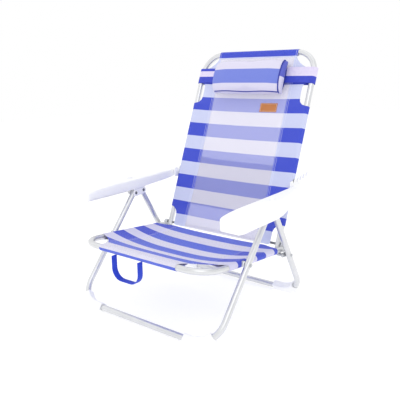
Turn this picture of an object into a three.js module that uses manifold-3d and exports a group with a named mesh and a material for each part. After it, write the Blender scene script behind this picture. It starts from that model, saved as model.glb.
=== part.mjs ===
// A folding beach chair with a reclining back: aluminium tube frames, plastic armrests and
// foot covers, and soft striped panels. Millimetres, +Z up, the sitter faces -Y.
// Side views are drawn in (y, z), with y counted from the front floor bar, and the whole
// chair is moved at the end so that its origin is at the bottom centre.
import * as THREE from "three";
import { mergeVertices } from "three/addons/utils/BufferGeometryUtils.js";
import Module from "manifold-3d";

const wasm = await Module();
wasm.setup();

// ---- driving dimensions ----
const TUBE_R = 9.5; // outer radius of every frame tube
const TUBE_WALL = 1.2;
const BEND_R = 75; // centreline radius of the frame bends
const FOOT_ALONG_BAR = 102; // from the corner of a leg frame
const FOOT_MOUTH = 50; // degrees round the bend at which the leg comes out of its cover
const FOOT_WALL = 3.3; // least plastic round the tube
const FOOT_ROUNDING = 3;
const BEND_STEPS = 6;
const TUBE_SIDES = 12;
const GAP = 0.4; // running clearance between neighbours

const LEG_X = 272.5; // half the distance between the leg tubes
const SEAT_X = 249; // half the distance between the seat rails
const BACK_X = 228.5; // half the distance between the back tubes
const FLOOR_BAR_Z = 13.5; // height of the centre of both floor bars
const REAR_BAR_Y = 485;
const FRONT_PIN = [257, 326]; // armrest and front leg pivot
const REAR_PIN = [294, 331]; // rear leg pivot in the knuckle
const PIN_R = 3;
const TIP = 11; // how far a tube runs past its pivot

const SEAT_FRONT = [-5, 218]; // centre of the seat's front bar
const SEAT_SLOPE = -0.083; // the seat falls towards the back
const SEAT_LENGTH = 391;
const BACK_PIN = [399, 195]; // hinge between seat and back
const BACK_LEAN = 21.14; // degrees from upright in the first notch
const BACK_LENGTH = 643; // hinge to the centre of the top bar
const DEPTH_CENTRE = 311.36; // half way along the whole chair

const ARM_FRONT_Y = 38;
const ARM_REAR_Y = 489;
const ARM_IN_X = 257;
const ARM_OUT_X = 312;
const ARM_REAR_OUT_X = 268;
const ARM_WALL = 3;

// ---- materials ----
const finish = (color, roughness, metalness) =>
  new THREE.MeshStandardMaterial({ color, roughness, metalness });
const ALUMINIUM = finish(0xc9cccf, 0.35, 0.9);
const STEEL = finish(0x4a4c50, 0.4, 0.8);
const PLASTIC = finish(0xf4f5f6, 0.45, 0);
const PLUG = finish(0xd9dbde, 0.5, 0);
const BLUE_CLOTH = finish(0x3d5fd6, 0.8, 0);
const PALE_CLOTH = finish(0xd9dcf2, 0.8, 0);
const TAN = finish(0xb57a48, 0.7, 0);

const chair = new THREE.Group();
const SIDES = [["left", -1], ["right", 1]];

function add(name, geometry, material) {
  const mesh = new THREE.Mesh(geometry, material);
  mesh.name = name;
  chair.add(mesh);
}

// ---- solids ----
function toSolid(geometry) {
  const bare = geometry.clone();
  for (const key of Object.keys(bare.attributes)) {
    if (key !== "position") bare.deleteAttribute(key);
  }
  const merged = mergeVertices(bare, 1e-4);
  const vertProperties = new Float32Array(merged.attributes.position.array);
  const triVerts = new Uint32Array(merged.index.array);
  return new wasm.Manifold(new wasm.Mesh({ numProp: 3, vertProperties, triVerts }));
}

function toGeometry(solid) {
  const mesh = solid.getMesh();
  const geometry = new THREE.BufferGeometry();
  const xyz = new Float32Array(mesh.vertProperties);
  geometry.setAttribute("position", new THREE.BufferAttribute(xyz, 3));
  geometry.setIndex(new THREE.BufferAttribute(new Uint32Array(mesh.triVerts), 1));
  return geometry;
}

const cut = (body, ...tools) =>
  toGeometry(tools.reduce((solid, tool) => solid.subtract(toSolid(tool)), toSolid(body)));
const join = (body, ...others) =>
  toGeometry(others.reduce((solid, other) => solid.add(toSolid(other)), toSolid(body)));
const common = (a, b) => toGeometry(toSolid(a).intersect(toSolid(b)));

const X = new THREE.Vector3(1, 0, 0);
const Y = new THREE.Vector3(0, 1, 0);
const Z = new THREE.Vector3(0, 0, 1);

function outline(points) {
  return new THREE.Shape(points.map(([a, b]) => new THREE.Vector2(a, b)));
}

// A (y, z) outline given thickness from xa to xb.
function sidePlate(shape, xa, xb) {
  const options = { depth: Math.abs(xb - xa), bevelEnabled: false, curveSegments: 8 };
  const plate = new THREE.ExtrudeGeometry(shape, options);
  plate.applyMatrix4(new THREE.Matrix4().makeBasis(Y, Z, X));
  return plate.translate(Math.min(xa, xb), 0, 0);
}

function pinAlongX([y, z], xa, xb, radius, sides = 12) {
  const pin = new THREE.CylinderGeometry(radius, radius, Math.abs(xb - xa), sides);
  return pin.rotateZ(Math.PI / 2).translate((xa + xb) / 2, y, z);
}

function disc([y, z], radius) {
  const shape = new THREE.Shape();
  shape.absarc(y, z, radius, 0, 2 * Math.PI);
  return shape;
}

// The stadium round two points of the side view.
function stadium(a, b, radius) {
  const angle = Math.atan2(b[1] - a[1], b[0] - a[0]);
  const shape = new THREE.Shape();
  shape.absarc(a[0], a[1], radius, angle + Math.PI / 2, angle + 1.5 * Math.PI);
  shape.absarc(b[0], b[1], radius, angle - Math.PI / 2, angle + Math.PI / 2);
  shape.closePath();
  return shape;
}

// ---- tubes ----
// A bent bar's centreline: straight runs joined by arcs. It is sampled only at the ends of
// the runs and along the arcs.
class BentPath extends THREE.Curve {
  constructor(corners, radius) {
    super();
    this.stations = [];
    const last = corners.length - 1;
    corners.forEach((corner, i) => {
      if (i === 0 || i === last) {
        const from = i === 0 ? corner : corners[i - 1];
        const to = i === 0 ? corners[1] : corner;
        this.stations.push([corner.clone(), to.clone().sub(from).normalize()]);
      } else {
        this.addBend(corners[i - 1], corner, corners[i + 1], radius);
      }
    });
  }

  addBend(before, corner, after, radius) {
    const arriving = corner.clone().sub(before).normalize();
    const leaving = after.clone().sub(corner).normalize();
    const turn = arriving.angleTo(leaving);
    const reach = radius * Math.tan(turn / 2);
    const start = corner.clone().addScaledVector(arriving, -reach);
    const inward = leaving.clone().addScaledVector(arriving, -Math.cos(turn)).normalize();
    for (let i = 0; i <= BEND_STEPS; i += 1) {
      const a = (turn * i) / BEND_STEPS;
      const point = start.clone().addScaledVector(arriving, radius * Math.sin(a));
      point.addScaledVector(inward, radius * (1 - Math.cos(a)));
      const tangent = arriving.clone().multiplyScalar(Math.cos(a));
      this.stations.push([point, tangent.addScaledVector(inward, Math.sin(a))]);
    }
  }

  get steps() {
    return this.stations.length - 1;
  }

  getPointAt(u) {
    return this.stations[Math.round(u * this.steps)][0].clone();
  }

  getTangentAt(u) {
    return this.stations[Math.round(u * this.steps)][1].clone();
  }
}

function ring(outer, inner, sides, phase = 0) {
  const corner = (r, i) => {
    const a = phase + (2 * Math.PI * i) / sides;
    return new THREE.Vector2(r * Math.cos(a), r * Math.sin(a));
  };
  const round = (r) => Array.from({ length: sides }, (_, i) => corner(r, i));
  const shape = new THREE.Shape(round(outer));
  if (inner > 0) shape.holes.push(new THREE.Path(round(inner).reverse()));
  return shape;
}

function tube(corners, { outer = TUBE_R, inner = TUBE_R - TUBE_WALL } = {}) {
  const path = new BentPath(corners, BEND_R);
  const section = ring(outer, inner, TUBE_SIDES);
  return new THREE.ExtrudeGeometry(section, { steps: path.steps, extrudePath: path });
}

// ---- places in the side view ----
const unit = (a, b) => {
  const length = Math.hypot(b[0] - a[0], b[1] - a[1]);
  return [(b[0] - a[0]) / length, (b[1] - a[1]) / length];
};
const along = (from, direction, distance) => [
  from[0] + direction[0] * distance,
  from[1] + direction[1] * distance,
];
const space = (x, [y, z]) => new THREE.Vector3(x, y, z);

const FRONT_FOOT = [0, FLOOR_BAR_Z];
const REAR_FOOT = [REAR_BAR_Y, FLOOR_BAR_Z];
const FRONT_LEG = unit(FRONT_FOOT, FRONT_PIN);
const REAR_LEG = unit(REAR_FOOT, REAR_PIN);
const SEAT_LINE = unit([0, 0], [1, SEAT_SLOPE]);
const SEAT_UP = [-SEAT_LINE[1], SEAT_LINE[0]];
const lean = THREE.MathUtils.degToRad(BACK_LEAN);
const BACK_LINE = [Math.sin(lean), Math.cos(lean)];
const BACK_FRONT = [-BACK_LINE[1], BACK_LINE[0]];

const onSeat = (t, up = 0) => along(along(SEAT_FRONT, SEAT_LINE, t), SEAT_UP, up);
const onBack = (s, front = 0) => along(along(BACK_PIN, BACK_LINE, s), BACK_FRONT, front);

// Where the line through p along d meets the line through q along e.
function meet(p, d, q, e) {
  const cross = d[0] * e[1] - d[1] * e[0];
  const t = ((q[0] - p[0]) * e[1] - (q[1] - p[1]) * e[0]) / cross;
  return along(p, d, t);
}

const SEAT_PIN = meet(FRONT_FOOT, FRONT_LEG, SEAT_FRONT, SEAT_LINE);

// ---- legs ----
// A floor bar with a leg up from each end; its corners lie in one leaning plane.
function legCorners(foot, pin, direction) {
  const top = along(pin, direction, TIP);
  return [space(-LEG_X, top), space(-LEG_X, foot), space(LEG_X, foot), space(LEG_X, top)];
}

const bothSides = (make) => SIDES.map(([, side]) => make(side));
const legHole = (at, side) => pinAlongX(at, side * (LEG_X - 12), side * (LEG_X + 12), PIN_R + GAP);

function frontLegs() {
  const frame = tube(legCorners(FRONT_FOOT, FRONT_PIN, FRONT_LEG));
  const holes = [FRONT_PIN, SEAT_PIN].flatMap((at) => bothSides((side) => legHole(at, side)));
  add("front_leg_frame", cut(frame, ...holes), ALUMINIUM);
}

function rearLegs() {
  const frame = tube(legCorners(REAR_FOOT, REAR_PIN, REAR_LEG));
  const holes = [REAR_PIN, HOOK_RIVET].flatMap((at) => bothSides((side) => legHole(at, side)));
  add("rear_leg_frame", cut(frame, ...holes), ALUMINIUM);
}

// The outline of a foot cover, in the plane of its legs: along the bar and part way round
// the bend, with a square corner under the bend. The rounding of its edges comes on top.
function footOutline() {
  const half = TUBE_R + GAP + FOOT_WALL - FOOT_ROUNDING;
  const centre = LEG_X - BEND_R;
  const round = (radius, degrees) => {
    const a = THREE.MathUtils.degToRad(degrees);
    return [centre + radius * Math.sin(a), BEND_R - radius * Math.cos(a)];
  };
  const outside = round(BEND_R + half, FOOT_MOUTH);
  const low = FOOT_ROUNDING - FLOOR_BAR_Z;
  const shape = [[LEG_X - FOOT_ALONG_BAR, low], [outside[0] + 1, low], outside];
  for (let i = 0; i <= 6; i += 1) shape.push(round(BEND_R - half, FOOT_MOUTH * (1 - i / 6)));
  shape.push([LEG_X - FOOT_ALONG_BAR, half]);
  return outline(shape);
}

// A plastic block round each corner of a floor bar, cut flat where it stands on the floor.
function footCovers(prefix, foot, direction) {
  const half = TUBE_R + GAP + FOOT_WALL - FOOT_ROUNDING;
  const belowFloor = new THREE.BoxGeometry(700, 300, 40).translate(0, foot[0], -20);
  const up = space(0, direction);
  for (const [word, side] of SIDES) {
    const out = X.clone().multiplyScalar(side);
    const block = new THREE.ExtrudeGeometry(footOutline(), {
      depth: 2 * half, bevelSize: FOOT_ROUNDING, bevelThickness: FOOT_ROUNDING, bevelSegments: 2,
    });
    block.translate(0, 0, -half);
    const across = X.clone().cross(up).multiplyScalar(side);
    block.applyMatrix4(new THREE.Matrix4().makeBasis(out, up, across));
    block.translate(0, foot[0], foot[1]);
    const path = [
      space(side * (LEG_X - 2 * FOOT_ALONG_BAR), foot),
      space(side * LEG_X, foot),
      space(side * LEG_X, along(foot, direction, 2 * BEND_R)),
    ];
    const channel = tube(path, { outer: TUBE_R + GAP, inner: 0 });
    add(`${prefix}_foot_${word}`, cut(block, channel, belowFloor), PLASTIC);
  }
}

// ---- the knuckle that holds both leg tops ----
const CHEEK_IN = LEG_X - TUBE_R - GAP;
const CHEEK_OUT = LEG_X + TUBE_R + GAP;
const CHEEK = 2.2;
const KNUCKLE_R = 12;
const WEB_LOW = 347;
const WEB_HIGH = 350.5;

function knuckle(side) {
  const cheek = stadium(FRONT_PIN, REAR_PIN, KNUCKLE_R);
  const inner = sidePlate(cheek, side * (CHEEK_IN - CHEEK), side * CHEEK_IN);
  const outer = sidePlate(cheek, side * CHEEK_OUT, side * (CHEEK_OUT + CHEEK));
  const neck = outline([
    [FRONT_PIN[0] - 8, FRONT_PIN[1] + 4],
    [REAR_PIN[0] + 4, REAR_PIN[1] + 4],
    [REAR_PIN[0] + 4, WEB_HIGH],
    [FRONT_PIN[0] - 8, WEB_HIGH],
  ]);
  const innerNeck = sidePlate(neck, side * (CHEEK_IN - CHEEK), side * CHEEK_IN);
  const outerNeck = sidePlate(neck, side * CHEEK_OUT, side * (CHEEK_OUT + CHEEK));
  const web = outline([
    [FRONT_PIN[0] - 8, WEB_LOW],
    [REAR_PIN[0] + 4, WEB_LOW],
    [REAR_PIN[0] + 4, WEB_HIGH],
    [FRONT_PIN[0] - 8, WEB_HIGH],
  ]);
  const bridge = sidePlate(web, side * (CHEEK_IN - CHEEK), side * (CHEEK_OUT + CHEEK));
  const body = join(inner, innerNeck, outer, outerNeck, bridge);
  const through = [side * 255, side * 292];
  return cut(body, ...[FRONT_PIN, REAR_PIN].map((at) => pinAlongX(at, ...through, PIN_R + GAP)));
}

// A rivet along X with a flat head at each end.
function rivet(at, side, inner, outer, headHeight, headRadius = 5.5) {
  const shank = pinAlongX(at, side * (inner + 0.1), side * (outer - 0.1), PIN_R);
  const innerHead = pinAlongX(at, side * inner, side * (inner + headHeight), headRadius);
  const outerHead = pinAlongX(at, side * (outer - headHeight), side * outer, headRadius);
  return join(shank, innerHead, outerHead);
}

function legTops() {
  for (const [word, side] of SIDES) {
    const headIn = CHEEK_IN - CHEEK - GAP / 2 - 0.7;
    const lugOut = LUG_X + LUG + GAP;
    add(`leg_knuckle_${word}`, knuckle(side), PLASTIC);
    add(`armrest_pin_${word}`, rivet(FRONT_PIN, side, headIn, lugOut + 0.7, 0.7), STEEL);
    const rearOut = CHEEK_OUT + CHEEK + GAP / 2;
    add(`rear_leg_pin_${word}`, rivet(REAR_PIN, side, headIn, rearOut + 0.7, 0.7), STEEL);
  }
}

// ---- seat ----
const seatHole = (at, side, radius = PIN_R + GAP) =>
  pinAlongX(at, side * (SEAT_X - 12), side * (SEAT_X + 12), radius);

function seatFrame() {
  const corners = [
    space(-SEAT_X, onSeat(SEAT_LENGTH)),
    space(-SEAT_X, onSeat(0)),
    space(SEAT_X, onSeat(0)),
    space(SEAT_X, onSeat(SEAT_LENGTH)),
  ];
  const holes = bothSides((side) => seatHole(SEAT_PIN, side));
  add("seat_frame", cut(tube(corners), ...holes), ALUMINIUM);
  for (const [word, side] of SIDES) {
    const washerIn = SEAT_X + TUBE_R + GAP;
    const washerOut = LEG_X - TUBE_R - GAP;
    const hole = pinAlongX(SEAT_PIN, side * 250, side * 270, PIN_R + GAP);
    const washer = cut(pinAlongX(SEAT_PIN, side * washerIn, side * washerOut, 8, 16), hole);
    add(`seat_spacer_${word}`, washer, PLASTIC);
    const boltIn = SEAT_X - TUBE_R - GAP - 1.4;
    const boltOut = LEG_X + TUBE_R + GAP + 2.2;
    add(`seat_bolt_${word}`, rivet(SEAT_PIN, side, boltIn, boltOut, 1.4, 5), STEEL);
  }
}

// The end fitting of a seat rail: a spigot in the tube and an ear for the hinge rod.
const EAR_IN = 242;
const EAR_OUT = 254;
const ROD_R = 4;

function seatEars() {
  for (const [word, side] of SIDES) {
    const ear = sidePlate(
      stadium(onSeat(SEAT_LENGTH + 8, -1), BACK_PIN, 8.5), side * EAR_IN, side * EAR_OUT);
    const spigot = new THREE.CylinderGeometry(7.6, 7.6, 30, 12);
    const tilt = new THREE.Quaternion().setFromUnitVectors(Y, space(0, SEAT_LINE));
    spigot.applyQuaternion(tilt);
    const [y, z] = onSeat(SEAT_LENGTH - 9);
    spigot.translate(side * SEAT_X, y, z);
    const railEnd = new THREE.BoxGeometry(40, 60, 40);
    railEnd.applyQuaternion(tilt);
    const [boxY, boxZ] = onSeat(SEAT_LENGTH - 30 + GAP);
    railEnd.translate(side * SEAT_X, boxY, boxZ);
    const plate = cut(ear, railEnd, pinAlongX(BACK_PIN, side * 230, side * 260, ROD_R + GAP));
    add(`seat_ear_${word}`, join(plate, spigot), PLUG);
  }
}

// The shelf on each rear leg that the seat rail rests on: a plate with a stub under the rail.
const HOOK_T = 380;
const STUB_R = 5;
const STUB = along(onSeat(HOOK_T), SEAT_UP, -(TUBE_R + GAP + STUB_R));
const HOOK_RIVET = meet(REAR_FOOT, REAR_LEG, along(STUB, SEAT_LINE, 0), SEAT_LINE);

function seatHooks() {
  for (const [word, side] of SIDES) {
    const plateIn = LEG_X - TUBE_R - GAP - 2.6;
    const plateOut = LEG_X - TUBE_R - GAP;
    const plate = sidePlate(stadium(STUB, HOOK_RIVET, 7.5), side * plateIn, side * plateOut);
    const stub = pinAlongX(STUB, side * (SEAT_X - 8), side * plateOut, STUB_R, 16);
    const hole = pinAlongX(HOOK_RIVET, side * 250, side * 270, PIN_R + GAP);
    add(`seat_hook_${word}`, cut(join(plate, stub), hole), STEEL);
    const headIn = plateIn - GAP / 2 - 0.8;
    const headOut = LEG_X + TUBE_R + GAP + 1.4;
    add(`hook_rivet_${word}`, rivet(HOOK_RIVET, side, headIn, headOut, 0.8, 5), STEEL);
  }
}

// ---- back ----
function backFrame() {
  const corners = [
    space(-BACK_X, onBack(-TIP)),
    space(-BACK_X, onBack(BACK_LENGTH)),
    space(BACK_X, onBack(BACK_LENGTH)),
    space(BACK_X, onBack(-TIP)),
  ];
  const hole = (at, side, radius) =>
    pinAlongX(at, side * (BACK_X - 12), side * (BACK_X + 12), radius);
  const holes = bothSides((side) => hole(BACK_PIN, side, ROD_R + GAP));
  const boltHoles = bothSides((side) => hole(RECLINE_BOLT, side, PIN_R + GAP));
  add("back_frame", cut(tube(corners), ...holes, ...boltHoles), ALUMINIUM);

  const rod = pinAlongX(BACK_PIN, -(EAR_OUT + 0.6), EAR_OUT + 0.6, ROD_R);
  const heads = bothSides((side) =>
    pinAlongX(BACK_PIN, side * (EAR_OUT + GAP), side * (EAR_OUT + GAP + 1.2), 6.5));
  add("back_hinge_rod", join(rod, ...heads), STEEL);

  for (const [word, side] of SIDES) {
    const boltIn = BACK_X - TUBE_R - GAP - 2;
    const boltOut = BACK_X + TUBE_R + GAP + 0.8;
    add(`recline_bolt_${word}`, rivet(RECLINE_BOLT, side, boltIn, boltOut, 0.8, 5), STEEL);
    const plug = new THREE.CylinderGeometry(7.6, 7.6, 8, 12);
    const cap = new THREE.CylinderGeometry(9.4, 8.4, 2.4, 16);
    plug.translate(0, -3.4, 0);
    const tilt = new THREE.Quaternion().setFromUnitVectors(Y, space(0, BACK_LINE).negate());
    const [y, z] = onBack(-TIP - GAP - 1.2);
    const fitted = join(cap, plug);
    add(`back_plug_${word}`, fitted.applyQuaternion(tilt).translate(side * BACK_X, y, z), PLUG);
  }
}

// ---- armrests ----
const LUG_X = CHEEK_OUT + CHEEK + GAP + 0.2;
const LUG = 4;
const RECLINE_BOLT = onBack(208);

// The armrest from above: straight inside, bowed outside, round at the front.
function armrestPlan(side, grow = 0) {
  const inner = ARM_IN_X - grow;
  const outer = ARM_OUT_X + grow;
  const front = ARM_FRONT_Y - grow;
  const rear = ARM_REAR_Y + grow;
  const rearOuter = ARM_REAR_OUT_X + grow;
  const round = 14;
  const shape = new THREE.Shape();
  shape.moveTo(side * inner, rear);
  shape.lineTo(side * inner, front + round);
  shape.quadraticCurveTo(side * inner, front, side * (inner + round), front);
  shape.lineTo(side * (outer - round), front);
  shape.quadraticCurveTo(side * outer, front, side * outer, front + round);
  shape.lineTo(side * outer, 235);
  shape.bezierCurveTo(side * outer, 330, side * (rearOuter + 6), 400, side * rearOuter, rear);
  shape.closePath();
  return shape;
}

// The armrest from the side: the top dips at the front, the outer skirt is deep until the legs.
function armrestSide() {
  const shape = new THREE.Shape();
  shape.moveTo(ARM_FRONT_Y - 10, 333);
  shape.lineTo(ARM_FRONT_Y + 7, 328.8);
  shape.lineTo(62, 320);
  shape.lineTo(250, 323);
  shape.quadraticCurveTo(330, 328, 400, 354);
  shape.lineTo(ARM_REAR_Y + 10, 368);
  shape.lineTo(ARM_REAR_Y + 10, 385);
  shape.lineTo(330, 378);
  shape.lineTo(150, 374);
  shape.quadraticCurveTo(75, 372, ARM_FRONT_Y - 10, 360);
  shape.closePath();
  return shape;
}

function armrestCavity(side) {
  const shape = outline([
    [ARM_FRONT_Y + 6, 250],
    [ARM_FRONT_Y + 6, 352],
    [80, 361],
    [150, 367],
    [330, 371],
    [465, 375],
    [465, 250],
  ]);
  const block = sidePlate(shape, side * 200, side * 350);
  const plan = new THREE.ExtrudeGeometry(armrestPlan(side, -ARM_WALL), {
    depth: 300,
    bevelEnabled: false,
    curveSegments: 8,
  });
  return common(block, plan.translate(0, 0, 200));
}

function armrest(side) {
  const plan = new THREE.ExtrudeGeometry(armrestPlan(side), {
    depth: 300,
    bevelEnabled: false,
    curveSegments: 8,
  });
  const block = sidePlate(armrestSide(), side * 200, side * 350);
  const body = common(block, plan.translate(0, 0, 200));
  const underInside = sidePlate(
    outline([
      [ARM_FRONT_Y + 6, 300],
      [ARM_FRONT_Y + 6, 341],
      [260, 341],
      [440, 354],
      [440, 300],
    ]),
    side * 200,
    side * 297,
  );
  const lug = sidePlate(
    outline([
      [FRONT_PIN[0] - 12, FRONT_PIN[1]],
      [FRONT_PIN[0] - 12, 371],
      [FRONT_PIN[0] + 12, 371],
      [FRONT_PIN[0] + 12, FRONT_PIN[1]],
    ]),
    side * LUG_X,
    side * (LUG_X + LUG),
  );
  const lugEnd = sidePlate(disc(FRONT_PIN, 9), side * LUG_X, side * (LUG_X + LUG));
  const hole = pinAlongX(FRONT_PIN, side * 280, side * 296, PIN_R + GAP);
  const shell = cut(body, armrestCavity(side), underInside);
  return cut(join(shell, lug, lugEnd), hole);
}

// The notched rack on the armrest's tail: a bolt of the back frame sits in one notch.
const RACK_IN = BACK_X + TUBE_R + 2;
const RACK_TEETH = 5;

function recliningRack(side) {
  const first = 452;
  const pitch = 20;
  const top = (y) => 392 + 0.16 * (y - first);
  const points = [[first - 8, 358], [first - 8, top(first - 8)]];
  for (let i = 0; i < RACK_TEETH; i += 1) {
    const y = first + 4 + i * pitch;
    points.push([y, top(y)], [y + 5, top(y) - 11], [y + 11, top(y) - 11], [y + 14, top(y)]);
  }
  const rear = first + 8 + RACK_TEETH * pitch;
  points.push([rear, top(rear)], [rear + 6, top(rear) - 12], [rear, 358]);
  const plate = sidePlate(outline(points), side * RACK_IN, side * (RACK_IN + 5));
  const web = sidePlate(
    outline([[first, 369.5], [first, 379], [486, 381], [486, 371]]),
    side * (RACK_IN + 4), side * (ARM_IN_X - GAP));
  return join(plate, web);
}

function armrests() {
  for (const [word, side] of SIDES) {
    add(`armrest_${word}`, armrest(side), PLASTIC);
    add(`recline_rack_${word}`, recliningRack(side), PLASTIC);
  }
}

// ---- soft parts ----
// A shallow trough of cloth between two tubes: an arc across, run from start along a line of
// the side view, with the corners at one end rounded to clear the frame's bends.
function trough({ halfWidth, sag, thick, start, direction, length, roundedEnd }) {
  const radius = (halfWidth * halfWidth + sag * sag) / (2 * sag);
  const half = Math.asin(halfWidth / radius);
  const count = 10;
  const arc = (r) => Array.from({ length: count + 1 }, (_, i) => {
    const a = -half + (2 * half * i) / count;
    return [r * Math.sin(a), radius - sag - r * Math.cos(a)];
  });
  const across = outline([...arc(radius), ...arc(radius + thick).reverse()]);
  const run = new THREE.ExtrudeGeometry(across, { depth: length, bevelEnabled: false });
  run.applyMatrix4(new THREE.Matrix4().makeBasis(X, Z, Y.clone().negate()));
  run.translate(0, length, 0);

  const corner = BEND_R - TUBE_R;
  const plan = new THREE.Shape();
  const near = roundedEnd === "near";
  const [square, round] = near ? [length + 1, 0] : [-1, length];
  const inward = near ? corner : -corner;
  plan.moveTo(-halfWidth, square);
  plan.lineTo(-halfWidth, round + inward);
  plan.quadraticCurveTo(-halfWidth + 8, round + inward / 8, -halfWidth + corner, round);
  plan.lineTo(halfWidth - corner, round);
  plan.quadraticCurveTo(halfWidth - 8, round + inward / 8, halfWidth, round + inward);
  plan.lineTo(halfWidth, square);
  plan.closePath();
  const block = new THREE.ExtrudeGeometry(plan, { depth: 200, bevelEnabled: false, curveSegments: 6 });
  const cloth = common(run, block.translate(0, 0, -100));
  const ahead = space(0, direction);
  cloth.applyMatrix4(new THREE.Matrix4().makeBasis(X, ahead, X.clone().cross(ahead)));
  return cloth.translate(0, start[0], start[1]);
}

function softPanels() {
  const seat = trough({
    halfWidth: SEAT_X - TUBE_R - 3, sag: 28, thick: 3,
    start: onSeat(30, -3), direction: SEAT_LINE, length: 344, roundedEnd: "near",
  });
  add("seat_panel", seat, BLUE_CLOTH);
  const back = trough({
    halfWidth: BACK_X - TUBE_R - 3, sag: 10, thick: 2.5,
    start: onBack(36, 1), direction: BACK_LINE, length: 594, roundedEnd: "far",
  });
  add("back_panel", back, PALE_CLOTH);
  const pocket = sidePlate(
    outline([onBack(78, -15.5), onBack(262, -15.5), onBack(262, -19), onBack(78, -22)]),
    -170, 170);
  add("rear_pocket", pocket, PALE_CLOTH);
  const patch = sidePlate(
    outline([onBack(433, 1), onBack(464, 1), onBack(464, 3), onBack(433, 3)]), 52, 119);
  add("sewn_patch", patch, TAN);
}

// The pillow and the band that holds it, which slide down the back together.
const PILLOW = { half: 143, low: 480, high: 610, thick: 55 };

function headrest() {
  const { half, low, high, thick } = PILLOW;
  const middle = (low + high) / 2;
  const reach = (high - low) / 2;
  const shape = new THREE.Shape();
  const at = (s, front) => new THREE.Vector2(...onBack(s, front));
  const points = [];
  for (let i = 0; i <= 12; i += 1) {
    const a = (Math.PI * i) / 12;
    points.push(at(middle - reach * Math.cos(a), 14 + (thick - 14) * Math.sin(a) ** 0.7));
  }
  points.push(at(high - 6, 13.5), at(low + 6, 13.5));
  shape.setFromPoints(points);
  add("headrest_pillow", sidePlate(shape, -half, half), PALE_CLOTH);

  const bandLow = 532;
  const bandHigh = 588;
  const face = [[-(BACK_X + 12.2), 12.5], [BACK_X + 12.2, 12.5], [BACK_X + 12.2, -16.5],
    [-(BACK_X + 12.2), -16.5]];
  const hollow = [[-(BACK_X + 11), 11.3], [BACK_X + 11, 11.3], [BACK_X + 11, -15.3],
    [-(BACK_X + 11), -15.3]];
  const band = outline(face);
  band.holes.push(new THREE.Path(hollow.map(([a, b]) => new THREE.Vector2(a, b)).reverse()));
  const loop = new THREE.ExtrudeGeometry(band, { depth: bandHigh - bandLow, bevelEnabled: false });
  const frontward = space(0, BACK_FRONT);
  loop.applyMatrix4(new THREE.Matrix4().makeBasis(X, frontward, X.clone().cross(frontward)));
  const [y, z] = onBack(bandHigh);
  add("headrest_band", loop.translate(0, y, z), BLUE_CLOTH);
}

// A loop of webbing under the seat's front bar to carry the folded chair by.
function carryHandle() {
  const [barY, barZ] = SEAT_FRONT;
  const width = 20;
  const webbing = 2.2;
  const leftX = -98;
  const rightX = 30;
  const topZ = barZ - TUBE_R - 3;
  const lowZ = barZ - 98;
  const side = (inset) => {
    const shape = [];
    const corner = 34 - inset;
    const bottom = lowZ + inset;
    for (let i = 0; i <= 5; i += 1) {
      const a = Math.PI + (Math.PI / 2) * (i / 5);
      const x = leftX + inset + corner + corner * Math.cos(a);
      shape.push([x, bottom + corner + corner * Math.sin(a)]);
    }
    for (let i = 0; i <= 5; i += 1) {
      const a = 1.5 * Math.PI + (Math.PI / 2) * (i / 5);
      const x = rightX - inset - corner + corner * Math.cos(a);
      shape.push([x, bottom + corner + corner * Math.sin(a)]);
    }
    return shape;
  };
  const strap = outline([
    [leftX, topZ],
    ...side(0),
    [rightX, topZ],
    [rightX - webbing, topZ],
    ...side(webbing).reverse(),
    [leftX + webbing, topZ],
  ]);
  const loop = new THREE.ExtrudeGeometry(strap, { depth: width, bevelEnabled: false });
  loop.applyMatrix4(new THREE.Matrix4().makeBasis(X, Z, Y.clone().negate()));
  add("carry_handle", loop.translate(0, barY + 1 + width / 2, 0), BLUE_CLOTH);
}

seatFrame();
seatEars();
frontLegs();
footCovers("front", FRONT_FOOT, FRONT_LEG);
legTops();
rearLegs();
footCovers("rear", REAR_FOOT, REAR_LEG);
seatHooks();
backFrame();
armrests();
softPanels();
headrest();
carryHandle();

chair.position.y = -DEPTH_CENTRE;
export default chair;
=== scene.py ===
"""A folding beach chair: bent tube frames, moulded armrests, a striped mesh seat and back."""
import math

import bmesh
import bpy
from mathutils import Matrix, Vector
from mathutils.geometry import delaunay_2d_cdt


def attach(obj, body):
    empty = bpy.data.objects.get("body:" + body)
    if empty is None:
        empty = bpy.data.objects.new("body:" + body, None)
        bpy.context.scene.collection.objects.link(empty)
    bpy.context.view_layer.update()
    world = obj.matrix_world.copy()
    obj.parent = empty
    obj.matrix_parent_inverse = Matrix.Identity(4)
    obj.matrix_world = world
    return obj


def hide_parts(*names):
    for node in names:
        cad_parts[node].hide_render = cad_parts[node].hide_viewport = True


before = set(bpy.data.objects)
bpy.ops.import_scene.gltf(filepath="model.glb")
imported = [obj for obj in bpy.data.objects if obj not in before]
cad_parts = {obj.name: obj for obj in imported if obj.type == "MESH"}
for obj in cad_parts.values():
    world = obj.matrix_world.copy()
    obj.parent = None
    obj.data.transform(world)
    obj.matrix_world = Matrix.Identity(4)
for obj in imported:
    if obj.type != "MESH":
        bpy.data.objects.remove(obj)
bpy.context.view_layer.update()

# ---- the chair's measures, in metres; side views are (y, z) from the front floor bar ----
DEPTH_CENTRE = 0.31136
TUBE_R = 0.0095
TUBE_WALL = 0.0012
BEND_R = 0.075
LEG_X = 0.2725
SEAT_X = 0.249
BACK_X = 0.2285
FLOOR_BAR_Z = 0.0135
REAR_BAR_Y = 0.485
FRONT_PIN = (0.257, 0.326)
REAR_PIN = (0.294, 0.331)
SEAT_PIN = (0.157115, 0.204544)
TIP = 0.011
SEAT_FRONT = (-0.005, 0.218)
SEAT_SLOPE = -0.083
SEAT_LENGTH = 0.391
BACK_PIN = (0.399, 0.195)
BACK_LEAN = math.radians(21.14)
BACK_LENGTH = 0.643
NOTCH_BOLT_UP = 0.208
CLOTH = 0.0007
SLEEVE_R = TUBE_R + 0.0006
STRIPE = 0.04935
STRIPE_START = 0.035

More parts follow.
